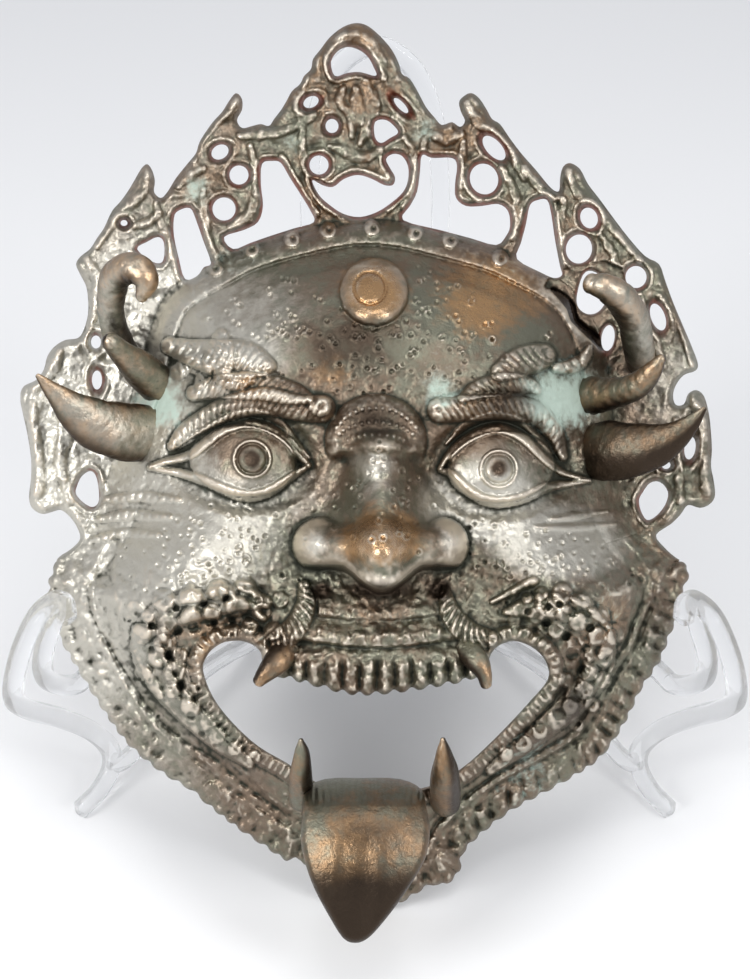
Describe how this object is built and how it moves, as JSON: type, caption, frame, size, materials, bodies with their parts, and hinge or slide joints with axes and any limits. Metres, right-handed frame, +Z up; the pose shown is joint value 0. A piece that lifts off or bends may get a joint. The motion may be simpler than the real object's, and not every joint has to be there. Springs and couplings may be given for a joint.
{
  "type": "bronze mask",
  "caption": "Cast bronze guardian mask with an openwork crown, horns, fangs and a hanging tongue, leaning on a clear plastic easel stand.",
  "frame": {"origin": "on the table, under the middle of the part's box", "axes": "+Z up, the mask looks along -Y and leans back, +X to the viewer's right"},
  "size_m": [0.1924, 0.1756, 0.1941],
  "materials": {
    "bronze": "dark brown patina with polished high places and green-grey recesses",
    "clear_plastic": "clear, smooth"
  },
  "bodies": {
    "root": {"bronze_mask": "bronze", "display_stand": "clear_plastic"}
  },
  "joints": []
}
